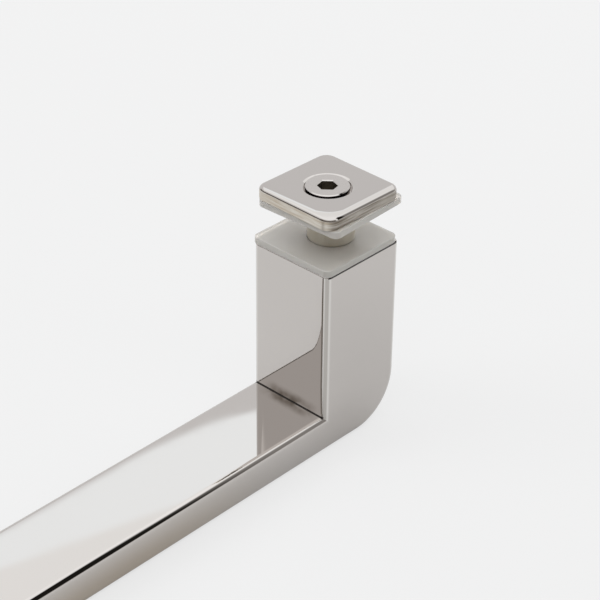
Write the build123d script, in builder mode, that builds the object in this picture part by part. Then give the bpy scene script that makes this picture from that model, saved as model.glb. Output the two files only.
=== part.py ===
"""Square pull handle for a frameless glass door, held through two holes in the glass.

One polished U shaped casting is gripped by its long bar. Each of its two posts carries a clamp:
a clear gasket on the post, a sleeve that lines the hole in the glass, a second gasket, a square
cap plate and a socket screw that draws the cap plate towards the post.

Millimetres. The bar runs along X and lies with its outer face on Z = 0, centred on the origin.
The posts and the screws point up, along +Z, to the glass.
"""

import math
import os

from build123d import *

# Grip casting
hole_centres = 203.0
handle_width = 22.4
bar_thickness = 9.0
post_depth = 23.6
post_height = 46.0
outer_corner_radius = 12.0
long_edge_round = 1.5
post_rim_round = 0.3
corner_groove_radius = 0.25

# Glass between the two gaskets
glass_thickness = 8.0

# Gaskets, cut from clear sheet, standing a little proud of the handle's width
gasket_proud = 0.25
gasket_thickness = 1.6
gasket_corner_radius = 1.6
gasket_edge_round = 0.15
gasket_hole_play = 1.0

# Sleeve that keeps the screw off the glass
sleeve_wall = 1.25
sleeve_play = 1.1
sleeve_edge_chamfer = 0.2

# Cap plate, likewise
plate_proud = 0.2
plate_thickness = 2.8
plate_corner_radius = 2.8
plate_top_round = 0.8
plate_bottom_break = 0.15
plate_hole_play = 0.3
plate_sink_chamfer = 0.4

# Socket screw, M6 with a thin flat head and a 4 mm hexagon
screw_diameter = 6.0
screw_length = 25.0
screw_tip_chamfer = 0.7
head_diameter = 9.9
head_thickness = 1.6
head_rim_chamfer = 0.2
head_play = 0.45
head_above_plate = 0.2
socket_across_flats = 4.0
socket_depth = 3.0
socket_mouth_chamfer = 0.2
socket_turn = 12.0

# Screw hole in each post
post_hole_play = 0.05
post_hole_spare = 3.0
post_hole_mouth = 0.5

# How the loose pieces lie on the right hand post: how much of their play they have slid through,
# towards which heading, and how far they have turned. The left hand clamp is centred and square.
post_gasket_slide = 0.38
post_gasket_heading = 165.0
sleeve_slide = 0.9
sleeve_heading = -55.0
cap_gasket_slide = 0.73
cap_gasket_heading = -55.0
cap_gasket_turn = 2.2
plate_slide = 0.7
plate_heading = -110.0
plate_turn = -1.0

# Levels up the clamp
glass_seat = post_height + gasket_thickness
cap_gasket_level = glass_seat + glass_thickness
plate_level = cap_gasket_level + gasket_thickness
plate_top = plate_level + plate_thickness
head_top = plate_top + head_above_plate
head_underside = head_top - head_thickness
screw_tip = head_underside - screw_length

# Sizes that follow from the clearances
handle_length = hole_centres + post_depth
gasket_size = handle_width + 2 * gasket_proud
plate_size = handle_width + 2 * plate_proud
gasket_hole_diameter = screw_diameter + 2 * gasket_hole_play
sleeve_bore_diameter = screw_diameter + 2 * sleeve_play
sleeve_diameter = sleeve_bore_diameter + 2 * sleeve_wall
plate_hole_diameter = screw_diameter + 2 * plate_hole_play
plate_sink_diameter = head_diameter + 2 * head_play
plate_sink_depth = head_thickness - head_above_plate
post_hole_diameter = screw_diameter + 2 * post_hole_play
post_hole_bottom = screw_tip - post_hole_spare

ends = {"right": hole_centres / 2, "left": -hole_centres / 2}
inside_corners = [place - math.copysign(post_depth / 2, place) for place in ends.values()]


def slid(play, share, heading):
    """Place of a loose piece that has slid through a share of its play around the screw."""
    reach = play * share
    return reach * math.cos(math.radians(heading)), reach * math.sin(math.radians(heading))


def save(piece, name):
    """Label a finished piece and write it to its own file."""
    piece.part.label = name
    export_step(piece.part, f"parts/{name}.step")


def make_grip():
    """Grip bar and both posts in one solid, with the two blind screw holes.

    A fine groove runs along each inside corner, where the polishing wheel cannot reach.
    """
    with BuildPart() as grip:
        with BuildSketch(Plane.XZ) as outline:
            with Locations((0, post_height / 2)):
                Rectangle(handle_length, post_height)
            with Locations((0, (post_height + bar_thickness) / 2)):
                Rectangle(hole_centres - post_depth, post_height - bar_thickness, mode=Mode.SUBTRACT)
            fillet(outline.vertices().group_by(Axis.Y)[0], outer_corner_radius)
        extrude(amount=handle_width / 2, both=True)
        post_rims = grip.faces().group_by(Axis.Z)[-1].edges()
        side_edges = grip.faces().filter_by(Axis.Y).edges()
        fillet([edge for edge in side_edges if edge not in post_rims], long_edge_round)
        fillet(grip.faces().group_by(Axis.Z)[-1].edges(), post_rim_round)
        with BuildSketch(Plane.XZ):
            with Locations([(place, bar_thickness) for place in inside_corners]):
                Circle(corner_groove_radius)
        extrude(amount=handle_width / 2, both=True, mode=Mode.SUBTRACT)
        with BuildSketch(Plane.XY.offset(post_hole_bottom)):
            with Locations([(place, 0) for place in ends.values()]):
                Circle(post_hole_diameter / 2)
        extrude(amount=post_height - post_hole_bottom, mode=Mode.SUBTRACT)
        hole_mouths = grip.faces().group_by(Axis.Z)[-1].edges().filter_by(GeomType.CIRCLE)
        chamfer(hole_mouths.group_by(SortBy.RADIUS)[-1], post_hole_mouth)
    return grip


def make_gasket(place, level, drift, turn):
    """Square of clear sheet with a round hole for the screw, lying on the given level."""
    with BuildPart() as gasket:
        with BuildSketch(Plane.XY.offset(level)):
            with Locations(Location((place + drift[0], drift[1], 0), (0, 0, turn))):
                RectangleRounded(gasket_size, gasket_size, gasket_corner_radius)
                Circle(gasket_hole_diameter / 2, mode=Mode.SUBTRACT)
        extrude(amount=gasket_thickness)
        edge_levels = gasket.edges().group_by(Axis.Z)
        fillet(edge_levels[0] + edge_levels[-1], gasket_edge_round)
    return gasket


def make_sleeve(place, drift):
    """Plain tube between the gaskets, as long as the glass is thick."""
    with BuildPart() as sleeve:
        with BuildSketch(Plane.XY.offset(glass_seat)):
            with Locations((place + drift[0], drift[1])):
                Circle(sleeve_diameter / 2)
                Circle(sleeve_bore_diameter / 2, mode=Mode.SUBTRACT)
        extrude(amount=glass_thickness)
        edge_levels = sleeve.edges().group_by(Axis.Z)
        chamfer(edge_levels[0] + edge_levels[-1], sleeve_edge_chamfer)
    return sleeve


def make_plate(place, drift, turn):
    """Square cap plate with a rounded top edge and a sunk seat for the screw head."""
    with BuildPart() as plate:
        with BuildSketch(Plane.XY.offset(plate_level)):
            with Locations(Location((place + drift[0], drift[1], 0), (0, 0, turn))):
                RectangleRounded(plate_size, plate_size, plate_corner_radius)
        extrude(amount=plate_thickness)
        fillet(plate.edges().group_by(Axis.Z)[-1], plate_top_round)
        chamfer(plate.edges().group_by(Axis.Z)[0], plate_bottom_break)
        with Locations((place + drift[0], drift[1], plate_top)):
            CounterBoreHole(plate_hole_diameter / 2, plate_sink_diameter / 2, plate_sink_depth)
        top_circles = plate.faces().sort_by(Axis.Z)[-1].edges().filter_by(GeomType.CIRCLE)
        chamfer(top_circles.sort_by(SortBy.RADIUS)[-1], plate_sink_chamfer)
    return plate


def make_screw(place):
    """Socket screw whose shank stands for the thread at its outer diameter."""
    with BuildPart() as screw:
        with BuildSketch(Plane.XY.offset(screw_tip)):
            with Locations((place, 0)):
                Circle(screw_diameter / 2)
        extrude(amount=screw_length)
        chamfer(screw.edges().group_by(Axis.Z)[0], screw_tip_chamfer)
        with BuildSketch(Plane.XY.offset(head_underside)):
            with Locations((place, 0)):
                Circle(head_diameter / 2)
        extrude(amount=head_thickness)
        chamfer(screw.edges().group_by(Axis.Z)[-1], head_rim_chamfer)
        with BuildSketch(Plane.XY.offset(head_top)):
            with Locations((place, 0)):
                RegularPolygon(socket_across_flats / 2, 6, major_radius=False, rotation=socket_turn)
        extrude(amount=-socket_depth, mode=Mode.SUBTRACT)
        mouth = screw.faces().sort_by(Axis.Z)[-1].edges().filter_by(GeomType.LINE)
        chamfer(mouth, socket_mouth_chamfer)
    return screw


os.makedirs("parts", exist_ok=True)
save(make_grip(), "grip")

centred = (0.0, 0.0)
loose_post_gasket = slid(gasket_hole_play, post_gasket_slide, post_gasket_heading)
loose_sleeve = slid(sleeve_play, sleeve_slide, sleeve_heading)
loose_cap_gasket = slid(gasket_hole_play, cap_gasket_slide, cap_gasket_heading)
loose_plate = slid(plate_hole_play, plate_slide, plate_heading)

for side, place in ends.items():
    loose = side == "right"
    post_gasket = make_gasket(place, post_height, loose_post_gasket if loose else centred, 0.0)
    save(post_gasket, f"{side}_post_gasket")
    save(make_sleeve(place, loose_sleeve if loose else centred), f"{side}_glass_sleeve")
    cap_gasket = make_gasket(
        place,
        cap_gasket_level,
        loose_cap_gasket if loose else centred,
        cap_gasket_turn if loose else 0.0,
    )
    save(cap_gasket, f"{side}_cap_gasket")
    cap_plate = make_plate(place, loose_plate if loose else centred, plate_turn if loose else 0.0)
    save(cap_plate, f"{side}_cap_plate")
    save(make_screw(place), f"{side}_cap_screw")
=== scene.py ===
"""Looks of a square pull handle for a frameless glass door.

Polished nickel, clear soft gaskets, nylon sleeves and plated socket screws, in a plain pale studio.
"""

import math

import bmesh
import bpy
from mathutils import Matrix, Vector


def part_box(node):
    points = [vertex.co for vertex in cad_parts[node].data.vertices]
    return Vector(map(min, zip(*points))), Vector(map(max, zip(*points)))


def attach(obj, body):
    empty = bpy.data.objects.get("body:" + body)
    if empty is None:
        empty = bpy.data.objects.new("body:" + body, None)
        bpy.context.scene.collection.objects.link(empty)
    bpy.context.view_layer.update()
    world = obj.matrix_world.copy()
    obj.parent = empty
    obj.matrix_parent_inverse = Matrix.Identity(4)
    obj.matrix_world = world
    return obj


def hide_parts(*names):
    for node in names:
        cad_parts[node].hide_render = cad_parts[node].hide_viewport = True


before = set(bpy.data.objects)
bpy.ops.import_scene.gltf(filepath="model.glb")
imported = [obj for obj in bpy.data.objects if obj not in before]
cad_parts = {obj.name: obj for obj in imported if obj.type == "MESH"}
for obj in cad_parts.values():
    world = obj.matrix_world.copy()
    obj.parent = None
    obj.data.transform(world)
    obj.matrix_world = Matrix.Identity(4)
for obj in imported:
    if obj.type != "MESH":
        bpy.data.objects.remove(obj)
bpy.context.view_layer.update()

MM = 0.001
SIDES = ("right", "left")

# Grip casting, where the frame has it, and the thickness of its bar
grip_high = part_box("grip")[1]
screw_low, screw_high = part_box("right_cap_screw")
SCREW_AXIS = (screw_low.x + screw_high.x) / 2
POST_FACE = 2 * SCREW_AXIS - grip_high.x
POST_TOP = grip_high.z
HALF_WIDTH = grip_high.y
BAR_TOP = 9.0 * MM

# Its finish: painted shade in the grooves and along the rim under the gaskets, and the wheel's roll at
# the upright edges
GROOVE_RADIUS = 0.25 * MM
GROOVE_SPREAD = 0.34 * MM
RIM_LINE_DOWN = (0.52 * MM, 0.4 * MM)
RIM_LINE_IN = (0.34 * MM, 0.26 * MM)
ROLL_START = 6.9 * MM
ROLL_WIDTH = 2.8 * MM
ROLL_SLOPE = 0.09

# Cap plate's finish, in millimetres, with places from the plate's middle
SEAT_EDGE = (5.4, 5.8)
SEAT_EDGE_DROP = 0.23
SIDES_BEYOND = 8.0
SIDE_TOP = (0.95, 0.75)
# where the plate's front side takes its painted shade
FRONT_SIDE = (-9.6, -11.2)
NEAR_ROLL_FROM = 5.5
NEAR_ROLL_START = 2.9
NEAR_ROLL_RADIUS = 16.0

# Cap screw, M6 by 1 mm with a thin head and a 4 mm hexagon
SHANK_RADIUS = 3.0 * MM
THREAD_PITCH = 1.0 * MM
THREAD_DEPTH = 0.613 * THREAD_PITCH
TIP_CHAMFER = 0.7 * MM
HEAD_THICKNESS = 1.6 * MM
HEAD_CHAMFER = 0.2 * MM
SOCKET_ACROSS_FLATS = 4.0 * MM
SOCKET_MOUTH = 0.2 * MM
SOCKET_DEPTH = 3.0 * MM
SOCKET_TURN = math.radians(12)
ROUND_STEPS = 48
SHARPEST_SMOOTH = math.radians(25)


def linear(hex_colour):
    """Turn an sRGB hex colour into the linear RGBA that a shader takes."""
    channels = [int(hex_colour[start : start + 2], 16) / 255 for start in (0, 2, 4)]
    return (*(c / 12.92 if c <= 0.04045 else ((c + 0.055) / 1.055) ** 2.4 for c in channels), 1.0)


def add_node(tree, kind, inputs=None, **settings):
    """Add one node with its settings, each input a plain value or the socket that it is joined to."""
    node = tree.nodes.new(kind)
    for name, value in settings.items():
        setattr(node, name, value)
    for name, value in (inputs or {}).items():
        if isinstance(value, bpy.types.NodeSocket):
            tree.links.new(value, node.inputs[name])
        else:
            node.inputs[name].default_value = value
    return node


NICKEL = linear("CAC5C1")


def new_material(name):
    """Make an empty material and return it with its node tree."""
    material = bpy.data.materials.new(name)
    material.use_nodes = True
    material.node_tree.nodes.clear()
    return material, material.node_tree


def polished_nickel(name, colour):
    """Cast metal, nickel plated and buffed: a warm mirror whose reflections wander over the casting.

    The colour is a plain one or a socket, and the material comes back with its tree and its shader.
    """
    material, tree = new_material(name)
    place = add_node(tree, "ShaderNodeTexCoord")
    swell = add_node(
        tree,
        "ShaderNodeTexNoise",
        {"Vector": place.outputs["Object"], "Scale": 1 / (24 * MM), "Detail": 1.0, "Roughness": 0.4},
    )
    haze = add_node(
        tree,
        "ShaderNodeTexNoise",
        {"Vector": place.outputs["Object"], "Scale": 1 / (5 * MM), "Detail": 3.0, "Roughness": 0.6},
    )
    gloss = add_node(
        tree,
        "ShaderNodeMapRange",
        {
            "Value": haze.outputs["Fac"],
            "From Min": 0.35,
            "From Max": 0.7,
            "To Min": 0.018,
            "To Max": 0.03,
        },
    )
    waves = add_node(
        tree,
        "ShaderNodeBump",
        {"Height": swell.outputs["Fac"], "Strength": 1.0, "Distance": 0.012 * MM},
    )
    shader = add_node(
        tree,
        "ShaderNodeBsdfPrincipled",
        {
            "Base Color": colour,
            "Metallic": 1.0,
            "Roughness": gloss.outputs["Result"],
            "Normal": waves.outputs["Normal"],
        },
    )
    add_node(tree, "ShaderNodeOutputMaterial", {"Surface": shader.outputs["BSDF"]})
    return material, tree, shader


def groove_reach(tree, spot, either_end):
    """Distance from the groove along either inside corner."""
    in_from_post = add_node(
        tree,
        "ShaderNodeMath",
        {0: either_end, 1: POST_FACE},
        operation="SUBTRACT",
    )
    above_bar = add_node(
        tree,
        "ShaderNodeMath",
        {0: spot.outputs["Z"], 1: BAR_TOP},
        operation="SUBTRACT",
    )
    across = add_node(
        tree,
        "ShaderNodeCombineXYZ",
        {"X": in_from_post.outputs[0], "Y": above_bar.outputs[0]},
    )
    reach = add_node(tree, "ShaderNodeVectorMath", {0: across.outputs["Vector"]}, operation="LENGTH")
    return reach.outputs["Value"]


def painted_crevice_shade(tree, spot, reach):
    """Painted shade where the crevices fall dark, as a dark colour that is no metal.

    It fills the grooves of the two inside corners and lines the rim under the front of each gasket.
    """
    in_groove = add_node(
        tree,
        "ShaderNodeMapRange",
        {"Value": reach, "From Min": GROOVE_SPREAD, "From Max": GROOVE_RADIUS},
        interpolation_type="SMOOTHSTEP",
    )
    at_top = add_node(
        tree,
        "ShaderNodeMapRange",
        {
            "Value": spot.outputs["Z"],
            "From Min": POST_TOP - RIM_LINE_DOWN[0],
            "From Max": POST_TOP - RIM_LINE_DOWN[1],
        },
        interpolation_type="SMOOTHSTEP",
    )
    at_front = add_node(
        tree,
        "ShaderNodeMapRange",
        {
            "Value": spot.outputs["Y"],
            "From Min": RIM_LINE_IN[0] - HALF_WIDTH,
            "From Max": RIM_LINE_IN[1] - HALF_WIDTH,
        },
        interpolation_type="SMOOTHSTEP",
    )
    at_rim = add_node(
        tree,
        "ShaderNodeMath",
        {0: at_top.outputs["Result"], 1: at_front.outputs["Result"]},
        operation="MULTIPLY",
    )
    # painted shade in the corner grooves and along the rim under each gasket
    crevice_shade = add_node(
        tree,
        "ShaderNodeMath",
        {0: in_groove.outputs["Result"], 1: at_rim.outputs[0]},
        operation="MAXIMUM",
    )
    return crevice_shade.outputs[0]


def darker_corner_patches(tree, place, reach, off_middle):
    """Where the nickel is darker in patches, near the middle of the inside corners."""
    close_by = add_node(
        tree,
        "ShaderNodeMapRange",
        {"Value": reach, "From Min": 3.4 * MM, "From Max": 0.3 * MM},
        interpolation_type="SMOOTHSTEP",
    )
    midway = add_node(
        tree,
        "ShaderNodeMapRange",
        {"Value": off_middle, "From Min": 9 * MM, "From Max": 3 * MM},
        interpolation_type="SMOOTHSTEP",
    )
    patches = add_node(
        tree,
        "ShaderNodeTexNoise",
        {"Vector": place.outputs["Object"], "Scale": 1 / (4 * MM), "Detail": 2.0},
    )
    in_patch = add_node(
        tree, "ShaderNodeMapRange", {"Value": patches.outputs["Fac"], "From Min": 0.3, "From Max": 0.6}
    )
    near_corner = add_node(
        tree,
        "ShaderNodeMath",
        {0: close_by.outputs["Result"], 1: midway.outputs["Result"]},
        operation="MULTIPLY",
    )
    patch_share = add_node(
        tree,
        "ShaderNodeMath",
        {0: near_corner.outputs[0], 1: in_patch.outputs["Result"]},
        operation="MULTIPLY",
    )
    return patch_share.outputs[0]


def rolled_posts(tree, spot, off_middle):
    """How far the wheel has rolled the posts' faces over towards their upright edges, in metres."""
    outer = add_node(
        tree,
        "ShaderNodeMath",
        {0: off_middle, 1: ROLL_START},
        operation="SUBTRACT",
    )
    rolling = add_node(tree, "ShaderNodeMath", {0: outer.outputs[0], 1: 0.0}, operation="MAXIMUM")
    dip = add_node(tree, "ShaderNodeMath", {0: rolling.outputs[0], 1: 3.0}, operation="POWER")
    up_post = add_node(
        tree,
        "ShaderNodeMapRange",
        {
            "Value": spot.outputs["Z"],
            "From Min": 10 * MM,
            "From Max": 18 * MM,
            "To Max": -ROLL_SLOPE / (3 * ROLL_WIDTH**2),
        },
    )
    relief = add_node(
        tree, "ShaderNodeMath", {0: dip.outputs[0], 1: up_post.outputs["Result"]}, operation="MULTIPLY"
    )
    return relief.outputs[0]


def plating_with_painted_light(tree, spot, either_end):
    """Colour of the casting's nickel.

    The upright edges carry a painted highlight, brighter than the faces, but for a thin painted dim
    line along their middle. Low on the sides of the bar the nickel is darker and warmer: painted
    shade for the floor's shadow that they mirror, strongest towards the middle of the bar.
    """
    low_down = add_node(
        tree,
        "ShaderNodeMapRange",
        {"Value": spot.outputs["Z"], "From Min": 8.5 * MM, "From Max": 3 * MM},
    )
    along_bar = add_node(
        tree,
        "ShaderNodeMapRange",
        {"Value": either_end, "From Min": 80 * MM, "From Max": 30 * MM},
        interpolation_type="SMOOTHSTEP",
    )
    # painted shade: darker, warmer nickel low on the bar's sides, strongest towards the middle of the
    # bar
    painted_low_shade = add_node(
        tree,
        "ShaderNodeMath",
        {0: low_down.outputs["Result"], 1: along_bar.outputs["Result"]},
        operation="MULTIPLY",
    )
    painted_plating = add_node(
        tree,
        "ShaderNodeMix",
        {"Factor": painted_low_shade.outputs[0], "A": NICKEL, "B": linear("C2B8AC")},
        data_type="RGBA",
    )
    facing = add_node(tree, "ShaderNodeNewGeometry")
    turned = add_node(tree, "ShaderNodeSeparateXYZ", {"Vector": facing.outputs["Normal"]})
    both_ways = add_node(
        tree, "ShaderNodeMath", {0: turned.outputs["X"], 1: turned.outputs["Y"]}, operation="MULTIPLY"
    )
    round_edge = add_node(tree, "ShaderNodeMath", {0: both_ways.outputs[0]}, operation="ABSOLUTE")
    on_edge_highlight = add_node(
        tree,
        "ShaderNodeMapRange",
        {"Value": round_edge.outputs[0], "From Min": 0.06, "From Max": 0.25},
        interpolation_type="SMOOTHSTEP",
    )
    # painted highlight along the rounds of the upright edges
    edge_highlighted = add_node(
        tree,
        "ShaderNodeMix",
        {"Factor": on_edge_highlight.outputs["Result"], "A": painted_plating.outputs["Result"], "B": linear("DAD7D3")},
        data_type="RGBA",
    )
    on_dim_line = add_node(
        tree,
        "ShaderNodeMapRange",
        {"Value": round_edge.outputs[0], "From Min": 0.36, "From Max": 0.46},
        interpolation_type="SMOOTHSTEP",
    )
    # painted reflection: a thin dim line along the middle of each upright edge
    with_dim_line = add_node(
        tree,
        "ShaderNodeMix",
        {"Factor": on_dim_line.outputs["Result"], "A": edge_highlighted.outputs["Result"], "B": linear("B8B4AF")},
        data_type="RGBA",
    )
    return with_dim_line.outputs["Result"]


def grip_nickel():
    """The casting's nickel, rolled over at its edges, with painted highlights and painted shade on it.
    """
    material, tree, shader = polished_nickel("grip_nickel", NICKEL)
    place = add_node(tree, "ShaderNodeTexCoord")
    spot = add_node(tree, "ShaderNodeSeparateXYZ", {"Vector": place.outputs["Object"]})
    either_end = add_node(tree, "ShaderNodeMath", {0: spot.outputs["X"]}, operation="ABSOLUTE")
    off_middle = add_node(tree, "ShaderNodeMath", {0: spot.outputs["Y"]}, operation="ABSOLUTE")
    reach = groove_reach(tree, spot, either_end.outputs[0])
    crevice_shade = painted_crevice_shade(tree, spot, reach)
    patch_share = darker_corner_patches(tree, place, reach, off_middle.outputs[0])
    painted_plating = plating_with_painted_light(tree, spot, either_end.outputs[0])
    # darker in patches near the middle of the inside corners
    patched = add_node(
        tree,
        "ShaderNodeMix",
        {"Factor": patch_share, "A": painted_plating, "B": linear("968E86")},
        data_type="RGBA",
    )
    # painted shade, dark and not metal, in the grooves and under the gaskets' rim
    colour = add_node(
        tree,
        "ShaderNodeMix",
        {"Factor": crevice_shade, "A": patched.outputs["Result"], "B": linear("2A211B")},
        data_type="RGBA",
    )
    unshaded_metal = add_node(tree, "ShaderNodeMath", {0: 1.0, 1: crevice_shade}, operation="SUBTRACT")
    relief = rolled_posts(tree, spot, off_middle.outputs[0])
    waves = shader.inputs["Normal"].links[0].from_socket
    wheel = add_node(
        tree,
        "ShaderNodeBump",
        {"Height": relief, "Strength": 1.0, "Distance": 1.0, "Normal": waves},
    )
    tree.links.new(colour.outputs["Result"], shader.inputs["Base Color"])
    tree.links.new(unshaded_metal.outputs[0], shader.inputs["Metallic"])
    tree.links.new(wheel.outputs["Normal"], shader.inputs["Normal"])
    return material


def plate_sides(tree, apart, radius):
    """The plate's sides, from half a millimetre below its top face down, but not the screw's seat."""
    below = add_node(
        tree,
        "ShaderNodeMapRange",
        {"Value": apart.outputs["Z"], "From Min": SIDE_TOP[0], "From Max": SIDE_TOP[1]},
        interpolation_type="SMOOTHSTEP",
    )
    outside = add_node(
        tree,
        "ShaderNodeMath",
        {0: radius, 1: SIDES_BEYOND},
        operation="GREATER_THAN",
    )
    on_side = add_node(
        tree,
        "ShaderNodeMath",
        {0: below.outputs["Result"], 1: outside.outputs[0]},
        operation="MULTIPLY",
    )
    return on_side.outputs[0]


def side_streaks_and_shade(tree, spot, apart):
    """Colour of the sides, which saw no wheel: warm, brassy streaks, with painted shade on the front
    side.
    """
    drawn_out = add_node(
        tree,
        "ShaderNodeVectorMath",
        {0: spot.outputs["Vector"], 1: (1 / 7, 1 / 7, 1 / 0.45)},
        operation="MULTIPLY",
    )
    streaks = add_node(
        tree,
        "ShaderNodeTexNoise",
        {"Vector": drawn_out.outputs["Vector"], "Scale": 1.0, "Detail": 3.0, "Roughness": 0.6},
    )
    brass = add_node(
        tree, "ShaderNodeMapRange", {"Value": streaks.outputs["Fac"], "From Min": 0.35, "From Max": 0.7}
    )
    streaked = add_node(
        tree,
        "ShaderNodeMix",
        {"Factor": brass.outputs["Result"], "A": linear("D8D3CA"), "B": linear("B8AA96")},
        data_type="RGBA",
    )
    # painted shade on the plate's front side, darker towards the front
    in_front = add_node(
        tree,
        "ShaderNodeMapRange",
        {
            "Value": apart.outputs["Y"],
            "From Min": FRONT_SIDE[0],
            "From Max": FRONT_SIDE[1],
            "To Max": 0.85,
        },
        interpolation_type="SMOOTHSTEP",
    )
    front_shade = add_node(
        tree,
        "ShaderNodeMix",
        {"Factor": brass.outputs["Result"], "A": linear("A8A29A"), "B": linear("625A51")},
        data_type="RGBA",
    )
    front_shaded = add_node(
        tree,
        "ShaderNodeMix",
        {
            "Factor": in_front.outputs["Result"],
            "A": streaked.outputs["Result"],
            "B": front_shade.outputs["Result"],
        },
        data_type="RGBA",
    )
    return front_shaded.outputs["Result"]


def rolled_plate(tree, flat, radius):
    """Height of what the wheel has rolled over, in millimetres, so that it catches the light.

    It is the plate's near corner with the two edges that meet there, and the edge of the screw's seat.
    """
    aside = add_node(
        tree,
        "ShaderNodeVectorMath",
        {0: flat.outputs["Vector"], 1: (-1.0, -1.0, 0.0)},
        operation="MULTIPLY",
    )
    past = add_node(
        tree,
        "ShaderNodeVectorMath",
        {0: aside.outputs["Vector"], 1: (NEAR_ROLL_FROM, NEAR_ROLL_FROM, 0.0)},
        operation="SUBTRACT",
    )
    ahead = add_node(
        tree,
        "ShaderNodeVectorMath",
        {0: past.outputs["Vector"], 1: (0.0, 0.0, 0.0)},
        operation="MAXIMUM",
    )
    out = add_node(tree, "ShaderNodeVectorMath", {0: ahead.outputs["Vector"]}, operation="LENGTH")
    over = add_node(
        tree,
        "ShaderNodeMath",
        {0: out.outputs["Value"], 1: NEAR_ROLL_START},
        operation="SUBTRACT",
    )
    rolled = add_node(tree, "ShaderNodeMath", {0: over.outputs[0], 1: 0.0}, operation="MAXIMUM")
    dip = add_node(tree, "ShaderNodeMath", {0: rolled.outputs[0], 1: 2.0}, operation="POWER")
    seat_edge = add_node(
        tree,
        "ShaderNodeMapRange",
        {
            "Value": radius,
            "From Min": SEAT_EDGE[0],
            "From Max": SEAT_EDGE[1],
            "To Min": SEAT_EDGE_DROP,
            "To Max": 0.0,
        },
    )
    relief = add_node(
        tree,
        "ShaderNodeMath",
        {0: dip.outputs[0], 1: -1 / (2 * NEAR_ROLL_RADIUS), 2: seat_edge.outputs["Result"]},
        operation="MULTIPLY_ADD",
    )
    return relief.outputs[0]


def plate_nickel(side):
    """The cap plate's nickel: polished on top, streaked on its sides, with painted shade on the front
    side.
    """
    material, tree, shader = polished_nickel(f"{side}_plate_nickel", NICKEL)
    low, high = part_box(f"{side}_cap_plate")
    place = add_node(tree, "ShaderNodeTexCoord")
    spot = add_node(
        tree,
        "ShaderNodeMapping",
        {"Vector": place.outputs["Object"], "Location": (low + high) / 2, "Scale": (MM, MM, MM)},
        vector_type="TEXTURE",
    )
    apart = add_node(tree, "ShaderNodeSeparateXYZ", {"Vector": spot.outputs["Vector"]})
    flat = add_node(tree, "ShaderNodeCombineXYZ", {"X": apart.outputs["X"], "Y": apart.outputs["Y"]})
    radius = add_node(tree, "ShaderNodeVectorMath", {0: flat.outputs["Vector"]}, operation="LENGTH")
    on_side = plate_sides(tree, apart, radius.outputs["Value"])
    streaks = side_streaks_and_shade(tree, spot, apart)
    # the sides' streaks, with painted shade on the front side
    finish = add_node(
        tree,
        "ShaderNodeMix",
        {"Factor": on_side, "A": linear("C6C1BD"), "B": streaks},
        data_type="RGBA",
    )
    dull = add_node(
        tree,
        "ShaderNodeMapRange",
        {"Value": on_side, "To Min": 0.024, "To Max": 0.34},
    )
    relief = rolled_plate(tree, flat, radius.outputs["Value"])
    waves = shader.inputs["Normal"].links[0].from_socket
    wheel = add_node(
        tree,
        "ShaderNodeBump",
        {"Height": relief, "Strength": 1.0, "Distance": MM, "Normal": waves},
    )
    tree.links.new(finish.outputs["Result"], shader.inputs["Base Color"])
    tree.links.new(dull.outputs["Result"], shader.inputs["Roughness"])
    tree.links.new(wheel.outputs["Normal"], shader.inputs["Normal"])
    return material


def soft_clear_vinyl():
    """Soft PVC sheet, calendered and die cut: half milky, half clear.

    It glows softly where light gets into it, and the metal under it shows through.
    """
    material, tree = new_material("soft_clear_vinyl")
    place = add_node(tree, "ShaderNodeTexCoord")
    grain = add_node(
        tree,
        "ShaderNodeTexNoise",
        {"Vector": place.outputs["Object"], "Scale": 1 / (0.8 * MM), "Detail": 2.0},
    )
    dents = add_node(
        tree,
        "ShaderNodeBump",
        {"Height": grain.outputs["Fac"], "Strength": 1.0, "Distance": 0.01 * MM},
    )
    shader = add_node(
        tree,
        "ShaderNodeBsdfPrincipled",
        {
            "Base Color": linear("FCF3EC"),
            "Roughness": 0.15,
            "IOR": 1.53,
            "Subsurface Weight": 0.8,
            "Subsurface Radius": (1.0, 1.0, 1.0),
            "Subsurface Scale": 0.8 * MM,
            "Transmission Weight": 0.48,
            "Normal": dents.outputs["Normal"],
        },
    )
    add_node(tree, "ShaderNodeOutputMaterial", {"Surface": shader.outputs["BSDF"]})
    return material


def natural_nylon():
    """Extruded nylon tube, left undyed: a waxy ivory wall that lets some light through, darkened as
    painted shade.
    """
    material, tree = new_material("natural_nylon")
    place = add_node(tree, "ShaderNodeTexCoord")
    cloud = add_node(
        tree,
        "ShaderNodeTexNoise",
        {"Vector": place.outputs["Object"], "Scale": 1 / (3 * MM), "Detail": 2.0},
    )
    # ivory darkened: painted shade for the shade under the cap plate
    tint = add_node(
        tree,
        "ShaderNodeMix",
        {"Factor": cloud.outputs["Fac"], "A": linear("BFBAAB"), "B": linear("CAC5B7")},
        data_type="RGBA",
    )
    shader = add_node(
        tree,
        "ShaderNodeBsdfPrincipled",
        {
            "Base Color": tint.outputs["Result"],
            "Roughness": 0.38,
            "IOR": 1.53,
            "Subsurface Weight": 0.6,
            "Subsurface Radius": (1.0, 0.9, 0.7),
            "Subsurface Scale": 2.0 * MM,
        },
    )
    add_node(tree, "ShaderNodeOutputMaterial", {"Surface": shader.outputs["BSDF"]})
    return material


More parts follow.
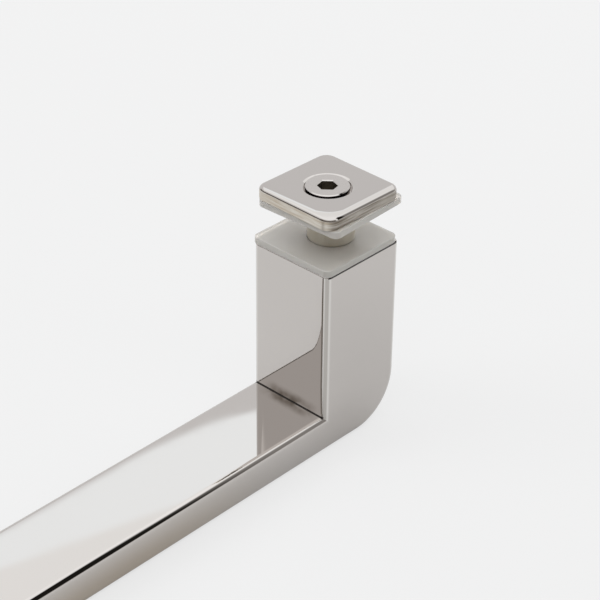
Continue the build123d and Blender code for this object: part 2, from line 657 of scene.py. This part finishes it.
def nickel_plated_steel():
    """Cold headed steel, faced in a lathe and nickel plated: soft shine over fine round rings."""
    material, tree = new_material("nickel_plated_steel")
    place = add_node(tree, "ShaderNodeTexCoord")
    spot = add_node(tree, "ShaderNodeSeparateXYZ", {"Vector": place.outputs["Object"]})
    either_end = add_node(tree, "ShaderNodeMath", {0: spot.outputs["X"]}, operation="ABSOLUTE")
    from_axis = add_node(
        tree,
        "ShaderNodeMath",
        {0: either_end.outputs[0], 1: SCREW_AXIS},
        operation="SUBTRACT",
    )
    flat = add_node(tree, "ShaderNodeCombineXYZ", {"X": from_axis.outputs[0], "Y": spot.outputs["Y"]})
    radius = add_node(tree, "ShaderNodeVectorMath", {0: flat.outputs["Vector"]}, operation="LENGTH")
    rings = add_node(
        tree,
        "ShaderNodeTexNoise",
        {"W": radius.outputs["Value"], "Scale": 1 / (0.3 * MM), "Detail": 2.0},
        noise_dimensions="1D",
    )
    grain = add_node(
        tree,
        "ShaderNodeTexNoise",
        {"Vector": place.outputs["Object"], "Scale": 1 / (0.5 * MM), "Detail": 2.0},
    )
    relief = add_node(
        tree,
        "ShaderNodeMath",
        {0: rings.outputs["Fac"], 1: grain.outputs["Fac"]},
        operation="ADD",
    )
    turned = add_node(
        tree,
        "ShaderNodeBump",
        {"Height": relief.outputs[0], "Strength": 1.0, "Distance": 0.004 * MM},
    )
    shader = add_node(
        tree,
        "ShaderNodeBsdfPrincipled",
        {
            "Base Color": NICKEL,
            "Metallic": 1.0,
            "Roughness": 0.12,
            "Normal": turned.outputs["Normal"],
        },
    )
    add_node(tree, "ShaderNodeOutputMaterial", {"Surface": shader.outputs["BSDF"]})
    return material


def shaded_broached_steel():
    """Socket walls, raw from the punch and darkened as painted shade: the hexagon reads as black."""
    material, tree = new_material("shaded_broached_steel")
    # raw steel, darkened further as painted shade for the deep socket
    shader = add_node(
        tree,
        "ShaderNodeBsdfPrincipled",
        {"Base Color": linear("8A8378"), "Metallic": 1.0, "Roughness": 0.45},
    )
    add_node(tree, "ShaderNodeOutputMaterial", {"Surface": shader.outputs["BSDF"]})
    return material


def dress(node_name, material):
    """Give a CAD node its finish."""
    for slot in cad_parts[node_name].material_slots:
        slot.material = material


def edges_of(verts):
    """Edges that meet in these vertices, each one once."""
    return list(dict.fromkeys(edge for vert in verts for edge in vert.link_edges))


def sink(mesh, edges, middle, growth, fall):
    """Draw a new loop from a level one, grown by a share and let down, and return its edges."""
    drawn = bmesh.ops.extrude_edge_only(mesh, edges=edges)
    verts = {item for item in drawn["geom"] if isinstance(item, bmesh.types.BMVert)}
    for vert in verts:
        out = (vert.co - middle) * Vector((1, 1, 0))
        vert.co += out * growth - Vector((0, 0, fall))
    lines = (item for item in drawn["geom"] if isinstance(item, bmesh.types.BMEdge))
    return [line for line in lines if set(line.verts) <= verts]


def cut_thread(mesh, middle, tip, underside):
    """Add the thread from the chamfered tip to the head, and return the edges of its open upper end.

    A tooth's crest is an eighth of the pitch wide and its root a quarter. The turns start below the
    tip and end above the head's underside, and are cut level at both.
    """
    root = SHANK_RADIUS - THREAD_DEPTH
    tooth = ((0.125, root), (0.4375, SHANK_RADIUS), (0.5625, SHANK_RADIUS), (0.875, root))
    teeth = math.ceil((underside - tip) / THREAD_PITCH) + 3
    line = [
        mesh.verts.new((middle.x + radius, middle.y, tip + (count - 2 + share) * THREAD_PITCH))
        for count in range(teeth)
        for share, radius in tooth
    ]
    line.append(mesh.verts.new(line[0].co + Vector((0, 0, teeth * THREAD_PITCH))))
    bmesh.ops.spin(
        mesh,
        geom=line + [mesh.edges.new(pair) for pair in zip(line, line[1:])],
        cent=middle,
        axis=(0, 0, 1),
        dvec=(0, 0, THREAD_PITCH / ROUND_STEPS),
        angle=2 * math.pi,
        steps=ROUND_STEPS,
    )
    bmesh.ops.remove_doubles(mesh, verts=mesh.verts, dist=0.001 * MM)
    for level, way_up in ((tip, 1), (underside, -1)):
        bmesh.ops.bisect_plane(
            mesh,
            geom=mesh.verts[:] + mesh.edges[:] + mesh.faces[:],
            plane_co=(0, 0, level),
            plane_no=(0, 0, way_up),
            clear_inner=True,
        )
    bmesh.ops.dissolve_degenerate(mesh, dist=0.002 * MM, edges=mesh.edges)
    for vert in mesh.verts:
        out = (vert.co - middle) * Vector((1, 1, 0))
        limit = SHANK_RADIUS - max(tip + TIP_CHAMFER - vert.co.z, 0.0)
        if out.length > limit:
            vert.co -= out * (1 - limit / out.length)
    open_edges = [edge for edge in mesh.edges if edge.is_boundary]
    halfway = (tip + underside) / 2
    bmesh.ops.edgeloop_fill(mesh, edges=[edge for edge in open_edges if edge.verts[0].co.z < halfway])
    return [edge for edge in open_edges if edge.verts[0].co.z > halfway]


def make_screw(side):
    """Cap screw in the place of its plain solid: rolled thread, thin head and a socket for the key."""
    low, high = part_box(f"{side}_cap_screw")
    middle = Vector(((low.x + high.x) / 2, (low.y + high.y) / 2, 0))
    head_radius = (high.x - low.x) / 2
    top = high.z
    underside = top - HEAD_THICKNESS
    mesh = bmesh.new()
    neck = cut_thread(mesh, middle, low.z, underside)

    # the head's face, with the mouth of the socket in it
    centre = Matrix.Translation((middle.x, middle.y, top))
    face_radius = head_radius - HEAD_CHAMFER
    made = bmesh.ops.create_circle(mesh, segments=ROUND_STEPS, radius=face_radius, matrix=centre)
    face_edge = edges_of(made["verts"])
    mouth_radius = (SOCKET_ACROSS_FLATS / 2 + SOCKET_MOUTH) / math.cos(math.pi / 6)
    turn = centre @ Matrix.Rotation(SOCKET_TURN - math.pi / 6, 4, "Z")
    made = bmesh.ops.create_circle(mesh, segments=6, radius=mouth_radius, matrix=turn)
    mouth = edges_of(made["verts"])
    bmesh.ops.triangle_fill(mesh, edges=face_edge + mouth, use_beauty=True)

    # down into the socket, then over the head's rim and in under it to the thread
    narrowing = -SOCKET_MOUTH / (SOCKET_ACROSS_FLATS / 2 + SOCKET_MOUTH)
    walls_top = sink(mesh, mouth, middle, narrowing, SOCKET_MOUTH)
    socket_end = sink(mesh, walls_top, middle, 0.0, SOCKET_DEPTH - SOCKET_MOUTH)
    bmesh.ops.edgeloop_fill(mesh, edges=socket_end)
    rim = sink(mesh, face_edge, middle, HEAD_CHAMFER / face_radius, HEAD_CHAMFER)
    shoulder = sink(mesh, rim, middle, 0.0, HEAD_THICKNESS - HEAD_CHAMFER)
    bmesh.ops.triangle_fill(mesh, edges=shoulder + neck, use_beauty=True)
    bmesh.ops.recalc_face_normals(mesh, faces=mesh.faces)

    # only the socket's walls and end are raw
    for face in mesh.faces:
        spot = face.calc_center_median()
        inward = (spot - middle) * Vector((1, 1, 0))
        in_socket = inward.length < SOCKET_ACROSS_FLATS / 2 + SOCKET_MOUTH
        walled = top - SOCKET_DEPTH - 0.01 * MM < spot.z < top - SOCKET_MOUTH
        face.material_index = 1 if in_socket and walled else 0
        face.smooth = True
    for edge in mesh.edges:
        edge.smooth = edge.calc_face_angle(0.0) < SHARPEST_SMOOTH

    data = bpy.data.meshes.new(f"{side}_screw")
    mesh.to_mesh(data)
    mesh.free()
    data.materials.append(screw_metal)
    data.materials.append(socket_metal)
    screw = bpy.data.objects.new(f"{side}_screw", data)
    bpy.context.collection.objects.link(screw)
    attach(screw, "root")
    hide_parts(f"{side}_cap_screw")


cast_nickel = grip_nickel()
vinyl = soft_clear_vinyl()
nylon = natural_nylon()
screw_metal = nickel_plated_steel()
socket_metal = shaded_broached_steel()

dress("grip", cast_nickel)
for side in SIDES:
    dress(f"{side}_cap_plate", plate_nickel(side))
    dress(f"{side}_post_gasket", vinyl)
    dress(f"{side}_cap_gasket", vinyl)
    dress(f"{side}_glass_sleeve", nylon)
    make_screw(side)


# Studio

FLOOR_RADIUS = 4.0
FLOOR_DROP = 0.05 * MM
PALE = "F2F2F2"
CAMERA_WASH = 0.8
METAL_WASH = 0.1
CLAMP = Vector((0.1, 0, 0))
WALL_WAY = math.radians(235)
ROOM_WAY = math.radians(300)

# A level direction is taken to rise this much, so that it too meets the softbox's level
LEAST_RISE = 0.02

# The softbox's edges, in shares of its height above the handle
BOX_BOW_FROM = 0.845
BOX_BOW = 1.25
BOX_FAR_EDGE = (1.016, 1.005)
BOX_LEFT_END = (-0.97, -0.9)
STRIP_SLANT = 0.28
STRIP_START = (1.178, 1.166)

# Levels of light round the handle, linear, where 1 shows as white
BOX_LIGHT = (1.22, 1.24, 1.25, 1.0)
STRIP_LIGHT = (1.31, 1.38, 1.43, 1.0)
OVERHEAD_LIGHT = (1.36, 1.38, 1.4, 1.0)
ROUND_BOX_LIGHT = (0.86, 0.86, 0.87, 1.0)
RIGHT_END_LIGHT = (0.32, 0.31, 0.3, 1.0)
SCREEN_LIGHT = (0.015, 0.014, 0.012, 1.0)
PAPER_LIGHT = (0.6, 0.58, 0.55, 1.0)
WALL_LIGHT = (0.32, 0.3, 0.28, 1.0)
WALL_FOOT_LIGHT = (0.1, 0.08, 0.06, 1.0)
DARK_END_LIGHT = (0.12, 0.1, 0.08, 1.0)


def lay_floor():
    """Pale matt floor a hair below the handle, washed out by the bright studio.

    The camera and the clear pieces see most of the wash. The metal sees little of it, which leaves it
    the handle's shadow.
    """
    material, tree = new_material("pale_floor")
    seen = add_node(tree, "ShaderNodeLightPath")
    straight = add_node(
        tree,
        "ShaderNodeMath",
        {0: seen.outputs["Is Camera Ray"], 1: seen.outputs["Is Transmission Ray"]},
        operation="MAXIMUM",
    )
    mirrored = add_node(
        tree,
        "ShaderNodeMath",
        {0: seen.outputs["Is Glossy Ray"], 1: METAL_WASH},
        operation="MULTIPLY",
    )
    wash = add_node(
        tree,
        "ShaderNodeMath",
        {0: straight.outputs[0], 1: CAMERA_WASH, 2: mirrored.outputs[0]},
        operation="MULTIPLY_ADD",
    )
    paper = add_node(tree, "ShaderNodeBsdfDiffuse", {"Color": linear("D7D7D7")})
    glare = add_node(tree, "ShaderNodeEmission", {"Color": linear(PALE)})
    both = add_node(
        tree,
        "ShaderNodeMixShader",
        {0: wash.outputs[0], 1: paper.outputs["BSDF"], 2: glare.outputs["Emission"]},
    )
    add_node(tree, "ShaderNodeOutputMaterial", {"Surface": both.outputs["Shader"]})
    mesh = bpy.data.meshes.new("floor")
    sheet = bmesh.new()
    bmesh.ops.create_circle(
        sheet,
        cap_ends=True,
        segments=64,
        radius=FLOOR_RADIUS,
        matrix=Matrix.Translation((0, 0, -FLOOR_DROP)),
    )
    sheet.to_mesh(mesh)
    sheet.free()
    mesh.materials.append(material)
    floor = bpy.data.objects.new("floor", mesh)
    bpy.context.collection.objects.link(floor)


def softbox_light(tree, way):
    """Wide softbox overhead and behind the handle, with a dimmer room round it."""
    # where each upward direction meets the softbox's level, in shares of its height
    up = add_node(tree, "ShaderNodeMath", {0: way.outputs["Z"], 1: LEAST_RISE}, operation="MAXIMUM")
    across = add_node(
        tree,
        "ShaderNodeMath",
        {0: way.outputs["X"], 1: up.outputs[0]},
        operation="DIVIDE",
    )
    along = add_node(
        tree,
        "ShaderNodeMath",
        {0: way.outputs["Y"], 1: up.outputs[0]},
        operation="DIVIDE",
    )

    # its far edge, which bows away to the right, and its left end
    off = add_node(
        tree,
        "ShaderNodeMath",
        {0: across.outputs[0], 1: BOX_BOW_FROM},
        operation="SUBTRACT",
    )
    right = add_node(tree, "ShaderNodeMath", {0: off.outputs[0], 1: 0.0}, operation="MAXIMUM")
    bow = add_node(tree, "ShaderNodeMath", {0: right.outputs[0], 1: 2.0}, operation="POWER")
    past = add_node(
        tree,
        "ShaderNodeMath",
        {0: bow.outputs[0], 1: BOX_BOW, 2: along.outputs[0]},
        operation="MULTIPLY_ADD",
    )
    in_softbox = add_node(
        tree,
        "ShaderNodeMapRange",
        {"Value": past.outputs[0], "From Min": BOX_FAR_EDGE[0], "From Max": BOX_FAR_EDGE[1]},
        interpolation_type="SMOOTHSTEP",
    )
    in_width = add_node(
        tree,
        "ShaderNodeMapRange",
        {"Value": across.outputs[0], "From Min": BOX_LEFT_END[0], "From Max": BOX_LEFT_END[1]},
        interpolation_type="SMOOTHSTEP",
    )
    in_box = add_node(
        tree,
        "ShaderNodeMath",
        {0: in_softbox.outputs["Result"], 1: in_width.outputs["Result"]},
        operation="MULTIPLY",
    )

    # it is brighter in a strip along its far edge, and brightest straight overhead
    slant = add_node(
        tree,
        "ShaderNodeMath",
        {0: across.outputs[0], 1: STRIP_SLANT, 2: along.outputs[0]},
        operation="MULTIPLY_ADD",
    )
    in_cloth = add_node(
        tree,
        "ShaderNodeMapRange",
        {"Value": slant.outputs[0], "From Min": STRIP_START[0], "From Max": STRIP_START[1]},
        interpolation_type="SMOOTHSTEP",
    )
    softbox = add_node(
        tree,
        "ShaderNodeMix",
        {"Factor": in_cloth.outputs["Result"], "A": STRIP_LIGHT, "B": BOX_LIGHT},
        data_type="RGBA",
    )
    behind = add_node(
        tree,
        "ShaderNodeMix",
        {"Factor": in_box.outputs[0], "A": ROUND_BOX_LIGHT, "B": softbox.outputs["Result"]},
        data_type="RGBA",
    )
    high = add_node(
        tree,
        "ShaderNodeMapRange",
        {"Value": way.outputs["Z"], "From Min": 0.68, "From Max": 0.84},
        interpolation_type="SMOOTHSTEP",
    )
    overhead = add_node(
        tree,
        "ShaderNodeMix",
        {"Factor": high.outputs["Result"], "A": behind.outputs["Result"], "B": OVERHEAD_LIGHT},
        data_type="RGBA",
    )
    return overhead.outputs["Result"]


def right_hand_light(tree, way, in_front, light):
    """Right of the handle the light falls off towards the camera, and a narrow black screen stands."""
    fall = add_node(
        tree,
        "ShaderNodeMapRange",
        {"Value": way.outputs["Y"], "From Min": -0.15, "From Max": -0.55},
        interpolation_type="SMOOTHSTEP",
    )
    in_right = add_node(
        tree,
        "ShaderNodeMapRange",
        {"Value": way.outputs["X"], "From Min": 0.27, "From Max": 0.39},
        interpolation_type="SMOOTHSTEP",
    )
    fading = add_node(
        tree,
        "ShaderNodeMath",
        {0: fall.outputs["Result"], 1: in_right.outputs["Result"]},
        operation="MULTIPLY",
    )
    lit = add_node(
        tree,
        "ShaderNodeMix",
        {"Factor": fading.outputs[0], "A": light, "B": RIGHT_END_LIGHT},
        data_type="RGBA",
    )
    side = add_node(
        tree,
        "ShaderNodeMath",
        {0: way.outputs["Y"], 1: 0.097, 2: way.outputs["X"]},
        operation="MULTIPLY_ADD",
    )
    in_left = add_node(
        tree,
        "ShaderNodeMapRange",
        {"Value": side.outputs[0], "From Min": 0.513, "From Max": 0.448},
        interpolation_type="SMOOTHSTEP",
    )
    strip = add_node(
        tree,
        "ShaderNodeMath",
        {0: in_left.outputs["Result"], 1: in_right.outputs["Result"]},
        operation="MULTIPLY",
    )
    standing = add_node(
        tree,
        "ShaderNodeMapRange",
        {"Value": way.outputs["Z"], "From Min": 0.9, "From Max": 0.85},
        interpolation_type="SMOOTHSTEP",
    )
    upright = add_node(
        tree,
        "ShaderNodeMath",
        {0: strip.outputs[0], 1: standing.outputs["Result"]},
        operation="MULTIPLY",
    )
    screened = add_node(
        tree,
        "ShaderNodeMath",
        {0: upright.outputs[0], 1: in_front},
        operation="MULTIPLY",
    )
    room = add_node(
        tree,
        "ShaderNodeMix",
        {"Factor": screened.outputs[0], "A": lit.outputs["Result"], "B": SCREEN_LIGHT},
        data_type="RGBA",
    )
    return room.outputs["Result"]


def paper_light(tree, way, in_front, light):
    """The far side of the floor's paper, just above the horizon."""
    low = add_node(
        tree,
        "ShaderNodeMapRange",
        {"Value": way.outputs["Z"], "From Min": 0.18, "From Max": 0.0},
        interpolation_type="SMOOTHSTEP",
    )
    edge = add_node(
        tree,
        "ShaderNodeMath",
        {0: low.outputs["Result"], 1: in_front},
        operation="MULTIPLY",
    )
    horizon = add_node(
        tree,
        "ShaderNodeMix",
        {"Factor": edge.outputs[0], "A": light, "B": PAPER_LIGHT},
        data_type="RGBA",
    )
    return horizon.outputs["Result"]


def wall_light(tree, direction, way, light):
    """The dim wall behind the camera, darker at its foot."""
    facing = add_node(
        tree,
        "ShaderNodeVectorMath",
        {0: direction, 1: (math.sin(WALL_WAY), math.cos(WALL_WAY), 0.0)},
        operation="DOT_PRODUCT",
    )
    in_wall = add_node(
        tree,
        "ShaderNodeMapRange",
        {"Value": facing.outputs["Value"], "From Min": 0.3, "From Max": 0.55},
        interpolation_type="SMOOTHSTEP",
    )
    below = add_node(
        tree,
        "ShaderNodeMapRange",
        {"Value": way.outputs["Z"], "From Min": 0.66, "From Max": 0.56},
        interpolation_type="SMOOTHSTEP",
    )
    wall = add_node(
        tree,
        "ShaderNodeMath",
        {0: in_wall.outputs["Result"], 1: below.outputs["Result"]},
        operation="MULTIPLY",
    )
    skirting = add_node(
        tree,
        "ShaderNodeMapRange",
        {"Value": way.outputs["Z"], "From Min": 0.28, "From Max": 0.16},
        interpolation_type="SMOOTHSTEP",
    )
    backing = add_node(
        tree,
        "ShaderNodeMix",
        {"Factor": skirting.outputs["Result"], "A": WALL_LIGHT, "B": WALL_FOOT_LIGHT},
        data_type="RGBA",
    )
    walled = add_node(
        tree,
        "ShaderNodeMix",
        {"Factor": wall.outputs[0], "A": light, "B": backing.outputs["Result"]},
        data_type="RGBA",
    )
    return walled.outputs["Result"]


def room_light(tree, direction, way, light):
    """The dark end of the room, seen between the paper and the softbox."""
    leftward = add_node(
        tree,
        "ShaderNodeVectorMath",
        {0: direction, 1: (math.sin(ROOM_WAY), math.cos(ROOM_WAY), 0.0)},
        operation="DOT_PRODUCT",
    )
    to_room = add_node(
        tree,
        "ShaderNodeMapRange",
        {"Value": leftward.outputs["Value"], "From Min": 0.6, "From Max": 0.75},
        interpolation_type="SMOOTHSTEP",
    )
    under_box = add_node(
        tree,
        "ShaderNodeMapRange",
        {"Value": way.outputs["Z"], "From Min": 0.42, "From Max": 0.3},
        interpolation_type="SMOOTHSTEP",
    )
    dark_end = add_node(
        tree,
        "ShaderNodeMath",
        {0: to_room.outputs["Result"], 1: under_box.outputs["Result"]},
        operation="MULTIPLY",
    )
    studio = add_node(
        tree,
        "ShaderNodeMix",
        {"Factor": dark_end.outputs[0], "A": light, "B": DARK_END_LIGHT},
        data_type="RGBA",
    )
    return studio.outputs["Result"]


def light_world():
    """Studio round the handle, each piece of it laid over the light so far.

    Past the floor the camera and the clear pieces see a plain pale backdrop.
    """
    world = bpy.data.worlds.new("studio")
    bpy.context.scene.world = world
    world.use_nodes = True
    tree = world.node_tree
    tree.nodes.clear()
    place = add_node(tree, "ShaderNodeTexCoord")
    direction = place.outputs["Generated"]
    way = add_node(tree, "ShaderNodeSeparateXYZ", {"Vector": direction})
    in_front = add_node(
        tree,
        "ShaderNodeMapRange",
        {"Value": way.outputs["Y"], "From Min": 0.32, "From Max": -0.28},
        interpolation_type="SMOOTHSTEP",
    )
    light = softbox_light(tree, way)
    light = right_hand_light(tree, way, in_front.outputs["Result"], light)
    light = paper_light(tree, way, in_front.outputs["Result"], light)
    light = wall_light(tree, direction, way, light)
    light = room_light(tree, direction, way, light)
    seen = add_node(tree, "ShaderNodeLightPath")
    straight = add_node(
        tree,
        "ShaderNodeMath",
        {0: seen.outputs["Is Camera Ray"], 1: seen.outputs["Is Transmission Ray"]},
        operation="MAXIMUM",
    )
    colour = add_node(
        tree,
        "ShaderNodeMix",
        {"Factor": straight.outputs[0], "A": light, "B": linear(PALE)},
        data_type="RGBA",
    )
    background = add_node(tree, "ShaderNodeBackground", {"Color": colour.outputs["Result"]})
    add_node(tree, "ShaderNodeOutputWorld", {"Surface": background.outputs["Background"]})


def hang_lamp(name, heading, height, size, power):
    """Wide lamp a metre from the clamp. It lights, but only the studio shows in the metal."""
    lamp = bpy.data.lights.new(name, "AREA")
    lamp.shape = "DISK"
    lamp.size = size
    lamp.energy = power
    lit_from = Vector(
        (
            math.sin(heading) * math.cos(height),
            math.cos(heading) * math.cos(height),
            math.sin(height),
        )
    )
    holder = bpy.data.objects.new(name, lamp)
    bpy.context.collection.objects.link(holder)
    holder.location = CLAMP + lit_from
    holder.rotation_euler = lit_from.to_track_quat("Z", "Y").to_euler()
    holder.visible_glossy = False


# Camera, as the photograph was taken: a long lens, looking down on the near end of the handle

IMAGE_WIDTH = 600
FOCAL_PIXELS = 1891.94
SENSOR = 36.0
HALF_PIXEL = 0.5 / IMAGE_WIDTH
CAMERA_PLACE = Vector((-166.214, -242.786, 258.585)) * MM
LOOK_RIGHT = 0.8186863
LOOK_DOWN = 0.5633476
ROLL = 0.0105257


def place_camera():
    """Camera at the photograph's own place, turned right from +Y, then down, then rolled."""
    lens = bpy.data.cameras.new("camera")
    lens.sensor_width = SENSOR
    lens.lens = FOCAL_PIXELS / IMAGE_WIDTH * SENSOR
    lens.shift_x = -HALF_PIXEL
    lens.shift_y = HALF_PIXEL
    lens.clip_start = 10 * MM
    lens.clip_end = 20.0
    camera = bpy.data.objects.new("camera", lens)
    bpy.context.collection.objects.link(camera)
    camera.matrix_world = (
        Matrix.Translation(CAMERA_PLACE)
        @ Matrix.Rotation(-LOOK_RIGHT, 4, "Z")
        @ Matrix.Rotation(math.pi / 2 - LOOK_DOWN, 4, "X")
        @ Matrix.Rotation(ROLL, 4, "Z")
    )
    bpy.context.scene.camera = camera


lay_floor()
light_world()
hang_lamp("key_lamp", heading=math.radians(88), height=math.radians(33), size=0.5, power=2.9)
hang_lamp("fill_lamp", heading=math.radians(318), height=math.radians(38), size=0.6, power=2.4)
place_camera()
bpy.context.scene.view_settings.view_transform = "Standard"
